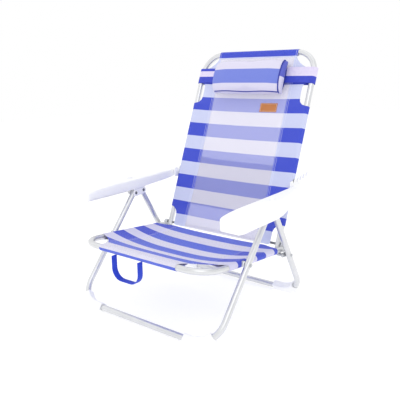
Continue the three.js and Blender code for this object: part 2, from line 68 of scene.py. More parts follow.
SEAT_LINE = Vector((1, SEAT_SLOPE)).normalized()
SEAT_UP = Vector((-SEAT_LINE.y, SEAT_LINE.x))
BACK_LINE = Vector((math.sin(BACK_LEAN), math.cos(BACK_LEAN)))
BACK_FRONT = Vector((-BACK_LINE.y, BACK_LINE.x))


def at(x, y, z):
    return Vector((x, y - DEPTH_CENTRE, z))


def on_seat(x, t, up=0.0):
    p = Vector(SEAT_FRONT) + SEAT_LINE * t + SEAT_UP * up
    return at(x, p.x, p.y)


def on_back(x, s, front=0.0):
    p = Vector(BACK_PIN) + BACK_LINE * s + BACK_FRONT * front
    return at(x, p.x, p.y)


def up_leg(foot, pin, distance):
    a = Vector(foot)
    p = a + (Vector(pin) - a).normalized() * distance
    return p.x, p.y


# ---- camera ----
def camera():
    azimuth, elevation, roll = math.radians(38.53), math.radians(13.13), math.radians(-0.69)
    right = Vector((math.cos(azimuth), math.sin(azimuth), 0))
    back = Vector((
        math.sin(azimuth) * math.cos(elevation),
        -math.cos(azimuth) * math.cos(elevation),
        math.sin(elevation),
    ))
    up = back.cross(right)
    across = right * math.cos(roll) + up * math.sin(roll)
    above = up * math.cos(roll) - right * math.sin(roll)
    turn = Matrix((across, above, back)).transposed().to_4x4()
    data = bpy.data.cameras.new("camera")
    data.lens = 48.27
    data.sensor_width = 36
    eye = bpy.data.objects.new("camera", data)
    eye.matrix_world = Matrix.Translation(at(1.0549, -1.0374, 0.7249)) @ turn
    bpy.context.scene.collection.objects.link(eye)
    bpy.context.scene.camera = eye


camera()


# ---- materials ----
class Recipe:
    """A material being wired: nodes by kind, and short forms for arithmetic."""

    def __init__(self, name):
        self.material = bpy.data.materials.new(name)
        self.material.use_nodes = True
        self.tree = self.material.node_tree
        self.shader = self.tree.nodes["Principled BSDF"]

    def node(self, kind, **settings):
        made = self.tree.nodes.new(kind)
        for key, value in settings.items():
            setattr(made, key, value)
        return made

    def plug(self, value, socket):
        if isinstance(value, (int, float, tuple, list)):
            socket.default_value = value
        else:
            self.tree.links.new(value, socket)

    def math(self, operation, *values):
        made = self.node("ShaderNodeMath", operation=operation)
        for value, socket in zip(values, made.inputs):
            self.plug(value, socket)
        return made.outputs[0]

    def mix(self, factor, low, high):
        made = self.node("ShaderNodeMix", data_type="RGBA")
        self.plug(factor, made.inputs[0])
        self.plug(low, made.inputs[6])
        self.plug(high, made.inputs[7])
        return made.outputs[2]

    def step(self, value, start, end):
        made = self.node("ShaderNodeMapRange", interpolation_type="SMOOTHSTEP")
        self.plug(value, made.inputs[0])
        self.plug(start, made.inputs[1])
        self.plug(end, made.inputs[2])
        return made.outputs[0]

    def noise(self, coordinates, scale, detail=3.0, roughness=0.55):
        made = self.node("ShaderNodeTexNoise")
        self.plug(coordinates, made.inputs["Vector"])
        made.inputs["Scale"].default_value = scale
        made.inputs["Detail"].default_value = detail
        made.inputs["Roughness"].default_value = roughness
        return made.outputs[0]

    def place(self, source="Object", location=(0, 0, 0), rotation=(0, 0, 0), scale=(1, 1, 1)):
        coordinates = self.node("ShaderNodeTexCoord")
        mapping = self.node("ShaderNodeMapping")
        mapping.inputs["Location"].default_value = location
        mapping.inputs["Rotation"].default_value = rotation
        mapping.inputs["Scale"].default_value = scale
        self.plug(coordinates.outputs[source], mapping.inputs[0])
        return mapping.outputs[0]

    def parts(self, coordinates):
        made = self.node("ShaderNodeSeparateXYZ")
        self.plug(coordinates, made.inputs[0])
        return made.outputs

    def bump(self, height, strength, distance):
        made = self.node("ShaderNodeBump")
        made.inputs["Strength"].default_value = strength
        made.inputs["Distance"].default_value = distance
        self.plug(height, made.inputs["Height"])
        self.plug(made.outputs[0], self.shader.inputs["Normal"])

    def set(self, **values):
        for key, value in values.items():
            self.plug(value, self.shader.inputs[key.replace("_", " ")])


def rgb(*values):
    """Display colour, 0 to 255, as the linear colour that a shader takes."""
    def linear(v):
        v /= 255
        return v / 12.92 if v <= 0.04045 else ((v + 0.055) / 1.055) ** 2.4

    return (*[linear(v) for v in values], 1.0)


def drawn_aluminium():
    """Satin anodised tube, with fine drawing lines and faint handling marks."""
    m = Recipe("satin_aluminium")
    where = m.place()
    cloud = m.noise(where, 22, 4)
    streak = m.noise(m.place(scale=(1, 60, 60)), 30, 2)
    mark = m.step(m.noise(where, 140, 6, 0.7), 0.62, 0.78)
    m.set(Base_Color=m.mix(cloud, rgb(208, 209, 211), rgb(227, 228, 230)), Metallic=0.82)
    rough = m.math("MULTIPLY_ADD", streak, 0.16, 0.22)
    m.set(Roughness=m.math("MULTIPLY_ADD", mark, 0.15, rough))
    m.bump(m.math("MULTIPLY_ADD", mark, -0.5, streak), 0.12, 0.0002)
    return m.material


def zinc_steel(name, low, high):
    m = Recipe(name)
    where = m.place()
    spots = m.noise(where, 320, 5, 0.65)
    m.set(Base_Color=m.mix(spots, low, high), Metallic=0.9)
    m.set(Roughness=m.math("MULTIPLY_ADD", spots, 0.25, 0.3))
    m.bump(spots, 0.15, 0.0002)
    return m.material


def moulded(name, low, high, rough):
    """Moulded plastic: a fine spark-eroded grain, faint flow clouds and rubbed spots."""
    m = Recipe(name)
    where = m.place()
    flow = m.noise(where, 9, 3)
    grain = m.noise(where, 1500, 2)
    rubbed = m.step(m.noise(where, 38, 5, 0.6), 0.56, 0.74)
    m.set(Base_Color=m.mix(flow, low, high))
    m.set(Roughness=m.math("MULTIPLY_ADD", rubbed, -0.12, rough))
    m.shader.inputs["Specular IOR Level"].default_value = 0.42
    m.bump(m.math("MULTIPLY_ADD", flow, 1.5, grain), 0.1, 0.00015)
    return m.material


def striped_mesh(name, hem_at, top_hem, colours, see_through):
    """Open coated-yarn mesh in even stripes, deeper in colour where a hem doubles it."""
    m = Recipe(name)
    uv = m.parts(m.place("UV"))
    u, v = uv[0], uv[1]
    drift = m.math("MULTIPLY_ADD", m.noise(m.place("UV"), 18, 2), 0.0016, -0.0008)
    turn = m.math("DIVIDE", m.math("ADD", m.math("SUBTRACT", v, STRIPE_START), drift), 2 * STRIPE)
    phase = m.math("MULTIPLY", m.math("PINGPONG", m.math("SUBTRACT", turn, 0.25), 0.5), 2)
    blue = m.step(phase, 0.513, 0.487)
    side = m.math("ABSOLUTE", u)
    doubled = m.step(side, hem_at - 0.0008, hem_at + 0.0008)
    if top_hem:
        doubled = m.math("MAXIMUM", doubled, m.step(v, top_hem - 0.0006, top_hem + 0.0006))
    pitch = 2 * math.pi / 0.0016
    warp = m.math("ABSOLUTE", m.math("SINE", m.math("MULTIPLY", u, pitch)))
    weft = m.math("ABSOLUTE", m.math("SINE", m.math("MULTIPLY", v, pitch)))
    hole = m.step(m.math("MAXIMUM", warp, weft), 0.62, 0.48)
    yarn = m.noise(m.place("UV", scale=(1, 9, 1)), 260, 3)
    single_blue, single_white, double_blue, double_white = colours
    single = m.mix(blue, single_white, single_blue)
    double = m.mix(blue, double_white, double_blue)
    cloth = m.mix(doubled, single, double)
    cloth = m.mix(m.math("MULTIPLY", m.step(yarn, 0.42, 0.7), 0.12), cloth, rgb(246, 246, 252))
    stitch = thread_lines(m, u, v, side, hem_at, top_hem)
    m.set(Base_Color=m.mix(stitch, cloth, rgb(236, 238, 252)), Roughness=0.62)
    single_open = m.math("MULTIPLY_ADD", hole, 0.3, see_through)
    one_layer = m.math("SUBTRACT", 1, m.math("MULTIPLY", doubled, 0.75))
    opening = m.math("MULTIPLY", single_open, one_layer)
    bare = m.math("SUBTRACT", 1, stitch)
    m.set(Alpha=m.math("SUBTRACT", 1, m.math("MULTIPLY", opening, bare)))
    m.shader.inputs["Sheen Weight"].default_value = 0.12
    height = m.math("ADD", m.math("MAXIMUM", warp, weft), m.math("MULTIPLY", stitch, 1.6))
    m.bump(height, 0.35, 0.0004)
    return m.material


def thread_lines(m, u, v, side, hem_at, top_hem):
    """Two rows of lockstitch beside each side hem's edge, and one row beside the top hem."""
    dash_v = m.step(m.math("PINGPONG", m.math("DIVIDE", v, 0.004), 0.5), 0.1, 0.16)
    dash_u = m.step(m.math("PINGPONG", m.math("DIVIDE", u, 0.004), 0.5), 0.1, 0.16)

    def row(value, place, dash):
        gap = m.math("ABSOLUTE", m.math("SUBTRACT", value, place))
        return m.math("MULTIPLY", m.step(gap, 0.0006, 0.0003), dash)

    rows = m.math("MAXIMUM", row(side, hem_at + 0.003, dash_v), row(side, hem_at + 0.009, dash_v))
    if top_hem:
        rows = m.math("MAXIMUM", rows, row(v, top_hem + 0.003, dash_u))
    return rows


def pillow_cloth():
    """Soft striped cloth on the pillow: the stripes run level across it."""
    m = Recipe("pillow_cloth")
    turned = m.place(rotation=(BACK_LEAN, 0, 0))
    xyz = m.parts(turned)
    origin = at(0, *BACK_PIN)
    base = -math.sin(-BACK_LEAN) * origin.y + math.cos(BACK_LEAN) * origin.z
    height = m.math("SUBTRACT", xyz[2], base)
    blue = m.math("MULTIPLY", m.step(height, 0.5157, 0.5167), m.step(height, 0.5663, 0.5653))
    weave_pitch = 2 * math.pi / 0.0022
    weave = m.math("MULTIPLY", m.math("SINE", m.math("MULTIPLY", xyz[0], weave_pitch)),
                   m.math("SINE", m.math("MULTIPLY", xyz[2], weave_pitch)))
    fuzz = m.noise(m.place(), 420, 4, 0.6)
    cloth = m.mix(blue, rgb(212, 208, 230), rgb(92, 112, 210))
    gusset = m.mix(m.step(height, 0.540, 0.542), rgb(204, 200, 228), rgb(44, 58, 186))
    cloth = m.mix(m.step(xyz[0], 0.1325, 0.1335), cloth, gusset)
    cloth = m.mix(m.math("MULTIPLY", fuzz, 0.14), cloth, rgb(250, 250, 255))
    m.set(Base_Color=cloth, Roughness=0.8)
    m.shader.inputs["Sheen Weight"].default_value = 0.2
    folds = m.noise(m.place(scale=(1.4, 1, 0.6)), 26, 3)
    relief = m.math("ADD", m.math("MULTIPLY", weave, 0.3), m.math("MULTIPLY", folds, 3.0))
    m.bump(relief, 0.3, 0.0006)
    return m.material


def plain_cloth(name, low, high, pitch, scale=(1, 1, 1)):
    """A flat woven tape or binding: ribs across, a little fading."""
    m = Recipe(name)
    xyz = m.parts(m.place(scale=scale))
    tau = 2 * math.pi / pitch
    ribs = m.math("MULTIPLY", m.math("SINE", m.math("MULTIPLY", xyz[0], tau)),
                  m.math("SINE", m.math("MULTIPLY", m.math("ADD", xyz[1], xyz[2]), tau)))
    fade = m.noise(m.place(), 60, 4)
    m.set(Base_Color=m.mix(fade, low, high), Roughness=0.75)
    m.shader.inputs["Sheen Weight"].default_value = 0.15
    m.bump(m.math("MULTIPLY_ADD", ribs, 0.5, fade), 0.4, 0.0004)
    return m.material


def tan_leather():
    m = Recipe("tan_patch_leather")
    pores = m.noise(m.place(), 900, 5, 0.7)
    cloud = m.noise(m.place(), 55, 3)
    m.set(Base_Color=m.mix(cloud, rgb(176, 104, 52), rgb(206, 134, 76)), Roughness=0.55)
    m.bump(m.math("MULTIPLY_ADD", cloud, 0.6, pores), 0.3, 0.0004)
    return m.material


ALUMINIUM = drawn_aluminium()
STEEL = zinc_steel("dull_zinc_steel", rgb(96, 98, 102), rgb(150, 152, 156))
BRIGHT_STEEL = zinc_steel("bright_zinc_steel", rgb(176, 178, 182), rgb(214, 216, 220))
WHITE = moulded("white_moulded_plastic", rgb(243, 244, 246), rgb(252, 252, 252), 0.5)
GREY = moulded("pale_grey_plastic", rgb(196, 199, 204), rgb(214, 216, 220), 0.5)
BACK_MESH = striped_mesh(
    "back_striped_mesh", 0.152, 0.623,
    (rgb(152, 158, 226), rgb(230, 228, 242), rgb(26, 58, 205), rgb(206, 212, 244)), 0.3)
POCKET_MESH = striped_mesh(
    "pocket_striped_mesh", 0.166, 0.233,
    (rgb(150, 156, 226), rgb(228, 228, 242), rgb(20, 48, 196), rgb(24, 56, 200)), 0.04)
# The seat's single-layer blue and white are deeper than the back's. This is painted shade for the
# dark space under the seat showing through the open mesh, and for the closer look of the weave seen
# at a slant.
SEAT_MESH = striped_mesh(
    "seat_striped_mesh", 0.168, None,
    (rgb(70, 96, 218), rgb(222, 220, 238), rgb(30, 60, 204), rgb(212, 210, 238)), 0.04)
PILLOW = pillow_cloth()
PIPING = plain_cloth("dark_blue_binding", rgb(28, 38, 142), rgb(48, 60, 170), 0.0012)
WEBBING = plain_cloth("blue_webbing", rgb(16, 52, 190), rgb(34, 74, 212), 0.0024)
TAN = tan_leather()
THREAD = plain_cloth("pale_thread", rgb(236, 224, 200), rgb(250, 242, 226), 0.0008)


# ---- making and finishing pieces ----
def only(piece):
    bpy.ops.object.select_all(action="DESELECT")
    piece.select_set(True)
    bpy.context.view_layer.objects.active = piece


def start(operator, name, **settings):
    """Adds a primitive with nothing else selected and leaves it ready in edit mode."""
    bpy.ops.object.select_all(action="DESELECT")
    operator(**settings)
    piece = bpy.context.active_object
    piece.name = name
    piece.data.name = name
    bpy.ops.object.transform_apply(location=True, rotation=True, scale=True)
    bpy.ops.object.mode_set(mode="EDIT")
    bpy.ops.mesh.select_all(action="SELECT")
    return piece


def pick(piece, test, kind="VERT"):
    """Selects the vertices, edges or faces of the piece being edited that pass the test."""
    bpy.ops.mesh.select_mode(type=kind)
    bpy.ops.mesh.select_all(action="DESELECT")
    shape = bmesh.from_edit_mesh(piece.data)
    chosen = {"VERT": shape.verts, "EDGE": shape.edges, "FACE": shape.faces}[kind]
    count = 0
    for element in chosen:
        if test(element):
            element.select_set(True)
            count += 1
    shape.select_flush_mode()
    bmesh.update_edit_mesh(piece.data)
    return count


def close_edit():
    bpy.ops.object.mode_set(mode="OBJECT")


def modify(piece, kind, **settings):
    only(piece)
    added = piece.modifiers.new(kind.lower(), kind)
    for key, value in settings.items():
        setattr(added, key, value)
    bpy.ops.object.modifier_apply(modifier=added.name)


def smooth(piece, degrees=40):
    only(piece)
    bpy.ops.object.shade_smooth_by_angle(angle=math.radians(degrees))


def settle(piece, body, slot, material, *nodes):
    """Gives a finished piece its finish, its body and the CAD nodes it stands for."""
    piece.data.materials.clear()
    piece.data.materials.append(material)
    if nodes:
        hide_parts(*nodes)
    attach(piece, body)
    return piece


def joined(name, pieces):
    bpy.ops.object.select_all(action="DESELECT")
    for piece in pieces:
        piece.select_set(True)
    bpy.context.view_layer.objects.active = pieces[0]
    bpy.ops.object.join()
    pieces[0].name = name
    return pieces[0]


def eased_copy(node, name, width=0.0005, segments=2):
    """A copy of a CAD piece with its edges eased, as a moulding or a rivet has them."""
    piece = bpy.data.objects.new(name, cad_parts[node].data.copy())
    bpy.context.scene.collection.objects.link(piece)
    only(piece)
    bpy.ops.object.mode_set(mode="EDIT")
    bpy.ops.mesh.select_all(action="SELECT")
    bpy.ops.mesh.remove_doubles(threshold=0.00001)
    bpy.ops.mesh.dissolve_limited(angle_limit=math.radians(1.5))
    close_edit()
    modify(piece, "BEVEL", width=width, segments=segments, limit_method="ANGLE",
           angle_limit=math.radians(38), harden_normals=False)
    smooth(piece)
    return piece


# ---- tube frames ----
def bent_tube(name, corners, bend, radius=TUBE_R, wall=TUBE_WALL, sides=32):
    """Draws a circle out along each straight run and spins it round each bend."""
    ahead = (corners[1] - corners[0]).normalized()
    piece = start(
        bpy.ops.mesh.primitive_circle_add, name, vertices=sides, radius=radius,
        location=corners[0], rotation=ahead.to_track_quat("Z", "Y").to_euler())
    here = corners[0]
    for i in range(1, len(corners)):
        ahead = (corners[i] - corners[i - 1]).normalized()
        if i == len(corners) - 1:
            pull(corners[i] - here)
            break
        after = (corners[i + 1] - corners[i]).normalized()
        angle = ahead.angle(after)
        setback = bend * math.tan(angle / 2)
        bend_start = corners[i] - ahead * setback
        pull(bend_start - here)
        inward = (after - ahead * ahead.dot(after)).normalized()
        bpy.ops.mesh.spin(
            steps=12, angle=-angle, center=bend_start + inward * bend,
            axis=ahead.cross(after).normalized())
        here = corners[i] + after * setback
    bpy.ops.mesh.select_all(action="SELECT")
    bpy.ops.mesh.remove_doubles(threshold=0.00002)
    bpy.ops.mesh.normals_make_consistent(inside=False)
    close_edit()
    modify(piece, "SOLIDIFY", thickness=wall, offset=-1)
    smooth(piece, 50)
    return piece


def pull(by):
    bpy.ops.mesh.extrude_region_move(TRANSFORM_OT_translate={"value": by})


def u_frame(name, x, end, corner, bend):
    """A U-shaped frame: up one side, across and down the other; end and corner are (y, z)."""
    return bent_tube(name, [at(-x, *end), at(-x, *corner), at(x, *corner), at(x, *end)], bend)


def frames():
    front_foot = (0.0, FLOOR_BAR_Z)
    rear_foot = (REAR_BAR_Y, FLOOR_BAR_Z)
    front_reach = (Vector(FRONT_PIN) - Vector(front_foot)).length + TIP
    rear_reach = (Vector(REAR_PIN) - Vector(rear_foot)).length + TIP
    front = u_frame("front_leg_tube", LEG_X, up_leg(front_foot, FRONT_PIN, front_reach),
                    front_foot, BEND_R)
    rear = u_frame("rear_leg_tube", LEG_X, up_leg(rear_foot, REAR_PIN, rear_reach),
                   rear_foot, BEND_R)
    seat = bent_tube("seat_tube", [
        on_seat(-SEAT_X, SEAT_LENGTH), on_seat(-SEAT_X, 0),
        on_seat(SEAT_X, 0), on_seat(SEAT_X, SEAT_LENGTH)], BEND_R)
    back = bent_tube("back_tube", [
        on_back(-BACK_X, -TIP), on_back(-BACK_X, BACK_LENGTH),
        on_back(BACK_X, BACK_LENGTH), on_back(BACK_X, -TIP)], BEND_R)
    settle(front, "front_legs", "aluminium_tube", ALUMINIUM, "front_leg_frame")
    settle(rear, "rear_legs", "aluminium_tube", ALUMINIUM, "rear_leg_frame")
    settle(seat, "seat", "aluminium_tube", ALUMINIUM, "seat_frame")
    settle(back, "backrest", "aluminium_tube", ALUMINIUM, "back_frame")


def small_parts():
    """Feet, knuckles, pins, hooks, ears and racks, each eased from its CAD shape."""
    rows = [
        ("front_foot", "front_foot_cover", "front_legs", "white_plastic", WHITE, 0.0009),
        ("rear_foot", "rear_foot_cover", "rear_legs", "white_plastic", WHITE, 0.0009),
        ("leg_knuckle", "knuckle", "front_legs", "white_plastic", WHITE, 0.0006),
        ("armrest_pin", "armrest_rivet", "front_legs", "steel", STEEL, 0.0003),
        ("rear_leg_pin", "leg_rivet", "front_legs", "steel", STEEL, 0.0003),
        ("seat_bolt", "seat_rivet", "front_legs", "steel", BRIGHT_STEEL, 0.0003),
        ("seat_spacer", "washer", "front_legs", "white_plastic", WHITE, 0.0004),
        ("seat_hook", "rest_hook", "rear_legs", "steel", BRIGHT_STEEL, 0.0005),
        ("hook_rivet", "rest_rivet", "rear_legs", "steel", BRIGHT_STEEL, 0.0003),
        ("seat_ear", "hinge_ear", "seat", "grey_plastic", GREY, 0.0007),
        ("back_plug", "tube_plug", "backrest", "grey_plastic", GREY, 0.0005),
        ("recline_bolt", "notch_bolt", "backrest", "steel", STEEL, 0.0003),
        ("recline_rack", "notched_rack", "armrests", "white_plastic", WHITE, 0.0007),
    ]
    for node, name, body, slot, material, width in rows:
        for side in ("left", "right"):
            piece = eased_copy(f"{node}_{side}", f"{name}_{side}", width)
            settle(piece, body, slot, material, f"{node}_{side}")
    rod = eased_copy("back_hinge_rod", "hinge_rod", 0.0004)
    settle(rod, "seat", "steel", STEEL, "back_hinge_rod")


# ---- armrests ----
ARM_STATIONS = [
    # y, outer x, top inside, top outside, inner lower edge, outer lower edge
    (0.038, 0.312, 0.3610, 0.3585, 0.3300, 0.3290),
    (0.054, 0.312, 0.3660, 0.3635, 0.3410, 0.3225),
    (0.080, 0.312, 0.3700, 0.3672, 0.3410, 0.3203),
    (0.115, 0.312, 0.3725, 0.3695, 0.3410, 0.3209),
    (0.160, 0.312, 0.3740, 0.3710, 0.3410, 0.3216),
    (0.210, 0.312, 0.3752, 0.3720, 0.3410, 0.3224),
    (0.250, 0.3115, 0.3762, 0.3730, 0.3412, 0.3232),
    (0.285, 0.3085, 0.3772, 0.3738, 0.3430, 0.3262),
    (0.315, 0.3045, 0.3780, 0.3746, 0.3458, 0.3320),
    (0.345, 0.2995, 0.3788, 0.3756, 0.3480, 0.3385),
    (0.375, 0.2935, 0.3802, 0.3772, 0.3500, 0.3465),
    (0.405, 0.2865, 0.3818, 0.3790, 0.3522, 0.3550),
    (0.440, 0.2782, 0.3830, 0.3808, 0.3560, 0.3610),
    (0.489, 0.2680, 0.3846, 0.3832, 0.3680, 0.3680),
]
ARM_IN_X = 0.257
ARM_OUT_X = 0.312
ARM_WALL = 0.003


def armrest(side):
    """A shell with a deep outer skirt, drawn out of a block station by station."""
    first, last = ARM_STATIONS[0], ARM_STATIONS[-1]
    low, high = 0.32, 0.37
    middle = at((ARM_IN_X + ARM_OUT_X) / 2, (first[0] + last[0]) / 2, (low + high) / 2)
    size = (ARM_OUT_X - ARM_IN_X, last[0] - first[0], high - low)
    piece = start(bpy.ops.mesh.primitive_cube_add, "armrest", size=1, location=middle, scale=size)
    for station in ARM_STATIONS[1:-1]:
        bpy.ops.mesh.select_all(action="SELECT")
        bpy.ops.mesh.bisect(plane_co=at(0, station[0], 0), plane_no=(0, 1, 0))
    for y, outer_x, top_in, top_out, low_in, low_out in ARM_STATIONS:
        here = y - DEPTH_CENTRE
        goals = {
            (ARM_IN_X, high): (ARM_IN_X, top_in), (ARM_OUT_X, high): (outer_x, top_out),
            (ARM_IN_X, low): (ARM_IN_X, low_in), (ARM_OUT_X, low): (outer_x, low_out),
        }
        for (x, z), (new_x, new_z) in goals.items():
            pick(piece, lambda v: abs(v.co.y - here) < 1e-4 and abs(v.co.x - x) < 1e-4
                 and abs(v.co.z - z) < 1e-4)
            bpy.ops.transform.translate(value=(new_x - x, 0, new_z - z))
    pick(piece, lambda f: f.normal.z < -0.6, "FACE")
    bpy.ops.mesh.delete(type="FACE")
    front, rear = first[0] - DEPTH_CENTRE, last[0] - DEPTH_CENTRE
    pick(piece, lambda f: f.normal.y > 0.9 and abs(f.calc_center_median().y - rear) < 1e-3, "FACE")
    bpy.ops.mesh.delete(type="FACE")
    pick(piece, lambda e: all(abs(v.co.y - front) < 1e-4 for v in e.verts)
         and abs(e.verts[0].co.x - e.verts[1].co.x) < 1e-3, "EDGE")
    bpy.ops.mesh.bevel(offset=0.012, segments=6, affect="EDGES")
    pick(piece, lambda e: len(e.link_faces) == 2 and e.calc_face_angle(0) > 0.6
         and max(f.normal.z for f in e.link_faces) > 0.7, "EDGE")
    bpy.ops.mesh.bevel(offset=0.0055, segments=4, affect="EDGES")
    close_edit()
    modify(piece, "SOLIDIFY", thickness=ARM_WALL, offset=-1, use_even_offset=True)
    modify(piece, "BEVEL", width=0.0008, segments=2, limit_method="ANGLE",
           angle_limit=math.radians(50))
    lug = pivot_lug()
    piece = joined("armrest", [piece, lug])
    if side < 0:
        only(piece)
        bpy.ops.object.mode_set(mode="EDIT")
        bpy.ops.mesh.select_all(action="SELECT")
        bpy.ops.transform.resize(value=(-1, 1, 1), center_override=(0, 0, 0))
        bpy.ops.mesh.flip_normals()
        close_edit()
    smooth(piece, 45)
    return piece


def pivot_lug():
    """The lug under the armrest that the front leg's pin goes through."""
    y, z = FRONT_PIN
    lug = start(bpy.ops.mesh.primitive_cube_add, "lug", size=1,
                location=at(0.2894, y, z + 0.0225), scale=(0.004, 0.024, 0.045 + 0.018))
    pick(lug, lambda e: abs(e.verts[0].co.x - e.verts[1].co.x) > 0.001
         and max(v.co.z for v in e.verts) < z, "EDGE")
    bpy.ops.mesh.bevel(offset=0.0088, segments=5, affect="EDGES")
    close_edit()
    return lug


def armrests():
    for word, side in (("left", -1), ("right", 1)):
        piece = armrest(side)
        piece.name = f"armrest_shell_{word}"
        settle(piece, "armrests", "white_plastic", WHITE, f"armrest_{word}")


# ---- cloth ----
def spaced(points, spacing):
    """The closed line through the points, with a point at least every spacing."""
    line = []
    for i, a in enumerate(points):
        b = points[(i + 1) % len(points)]
        count = max(1, math.ceil((b - a).length / spacing))
        line += [a.lerp(b, k / count) for k in range(count)]
    return line


def inside(point, line):
    hit = False
    x, y = point
    for i, a in enumerate(line):
        b = line[i - 1]
        if (a.y > y) != (b.y > y) and x < (b.x - a.x) * (y - a.y) / (b.y - a.y) + a.x:
            hit = not hit
    return hit


def clear_of(point, points, distance):
    return all(abs(point[0] - q.x) > distance or abs(point[1] - q.y) > distance for q in points)


def cloth(name, edge, holes, columns, rows, lay, spacing=0.004):
    """Cloth cut flat to an edge, netted with columns and rows of points, then laid in place."""
    lines = [spaced([Vector(p) for p in edge], spacing)]
    lines += [spaced([Vector(p) for p in hole], spacing) for hole in holes]
    rim = [p for line in lines for p in line]
    near = {}
    for p in rim:
        near.setdefault((round(p.x / 0.01), round(p.y / 0.01)), []).append(p)
    points = list(rim)
    for x in columns:
        for y in rows:
            if not inside((x, y), lines[0]) or any(inside((x, y), h) for h in lines[1:]):
                continue
            cell = (round(x / 0.01), round(y / 0.01))
            around = [q for i in (-1, 0, 1) for j in (-1, 0, 1)
                      for q in near.get((cell[0] + i, cell[1] + j), [])]
            if clear_of((x, y), around, 0.0011):
                points.append(Vector((x, y)))
    links = []
    first = 0
    for line in lines:
        count = len(line)
        links += [(first + i, first + (i + 1) % count) for i in range(count)]
        first += count
    flat, _, faces, *_ = delaunay_2d_cdt(points, links, [], 0, 1e-7, False)
    kept = []
    for face in faces:
        middle = sum((flat[i] for i in face), Vector((0, 0))) / len(face)
        if inside(middle, lines[0]) and not any(inside(middle, h) for h in lines[1:]):
            kept.append(list(face))
    area = sum(
        abs((flat[b] - flat[a]).cross(flat[c] - flat[a])) / 2 for a, b, c in kept)
    mesh = bpy.data.meshes.new(name)
    mesh.from_pydata([lay(p.x, p.y) for p in flat], [], kept)
    uv = mesh.uv_layers.new(name="flat")
    for loop in mesh.loops:
        uv.data[loop.index].uv = flat[loop.vertex_index]
    piece = bpy.data.objects.new(name, mesh)
    bpy.context.scene.collection.objects.link(piece)
    only(piece)
    bpy.ops.object.mode_set(mode="EDIT")
    bpy.ops.mesh.select_all(action="SELECT")
    bpy.ops.mesh.delete_loose()
    close_edit()
    xs, ys = [p.x for p in rim], [p.y for p in rim]
    piece["flat"] = (max(xs) - min(xs), max(ys) - min(ys), area)
    return piece


def mirrored(half):
    """A whole outline from its right half, which starts and ends on the middle line."""
    return list(half) + [(-x, y) for x, y in reversed(half) if x > 1e-6]


def span(start_at, end_at, pitch):
    count = max(1, round((end_at - start_at) / pitch))
    return [start_at + (end_at - start_at) * i / count for i in range(count + 1)]


def both_ways(values):
    return sorted({round(v, 6) for v in values} | {round(-v, 6) for v in values})


def round_tube(reach, tube_x, radius, fold_in, fold_to):
    """Across the chair along the cloth: flat to the tube, round it and back behind.
    Returns the distance from the middle plane and the offset towards the sitter, where the
    flat part's own offset is measured from the tube's face."""
    if reach <= tube_x:
        return reach, radius
    around = (reach - tube_x) / radius
    if around <= math.pi:
        return tube_x + radius * math.sin(around), radius * math.cos(around)
    share = (reach - tube_x - math.pi * radius) / fold_in
    return tube_x - share * (tube_x - fold_to), -radius


def smoothstep(a, b, x):
    t = min(1, max(0, (x - a) / (b - a)))
    return t * t * (3 - 2 * t)


WRAP = math.pi * SLEEVE_R


def back_slack(x, s):
    """How far the back's cloth bows behind the tubes' faces."""
    across = 1 - min(1, abs(x) / BACK_X) ** 2.2
    along = smoothstep(BACK_LENGTH, 0.46, s) * (0.2 + 0.8 * smoothstep(-0.01, 0.2, s))
    return 0.013 * across * along


BACK_HEM_TO = 0.152


def lay_back(p, s):
    side = -1 if p < 0 else 1
    reach = abs(p)
    if s > BACK_LENGTH:
        around = (s - BACK_LENGTH) / SLEEVE_R
        if around <= math.pi:
            rise = SLEEVE_R * math.sin(around)
            return on_back(p, BACK_LENGTH + rise, SLEEVE_R * math.cos(around))
        down = s - BACK_LENGTH - WRAP
        share = min(1, down / 0.02)
        behind = back_slack(p, BACK_LENGTH - down)
        front = -SLEEVE_R + share * (2 * SLEEVE_R - behind - 0.0016)
        return on_back(p, BACK_LENGTH - down, front)
    x, front = round_tube(reach, BACK_X, SLEEVE_R, BACK_X - BACK_HEM_TO, BACK_HEM_TO)
    if reach <= BACK_X:
        front -= back_slack(x, s)
    elif reach > BACK_X + WRAP:
        share = (BACK_X - x) / (BACK_X - BACK_HEM_TO)
        goal = SLEEVE_R - back_slack(x, s) - 0.0016
        front += share * (goal + SLEEVE_R)
    return on_back(side * x, s, front)


BACK_REACH = BACK_X + WRAP + (BACK_X - BACK_HEM_TO)


def arc(centre, radius, from_degrees, to_degrees, count=6):
    points = []
    for i in range(count + 1):
        a = math.radians(from_degrees + (to_degrees - from_degrees) * i / count)
        points.append((centre[0] + radius * math.cos(a), centre[1] + radius * math.sin(a)))
    return points


def wrap_columns(tube_x, reach):
    flat = span(0, tube_x - 0.006, 0.0085)
    bend = span(tube_x - 0.006, tube_x + WRAP + 0.004, 0.0026)
    rest = span(tube_x + WRAP + 0.004, reach, 0.008)
    return both_ways(flat + bend + rest)


def bolt_hole(reach, along, radius=0.0072):
    return [(reach + radius * math.cos(i * math.pi / 5), along + radius * math.sin(i * math.pi / 5))
            for i in range(10)]


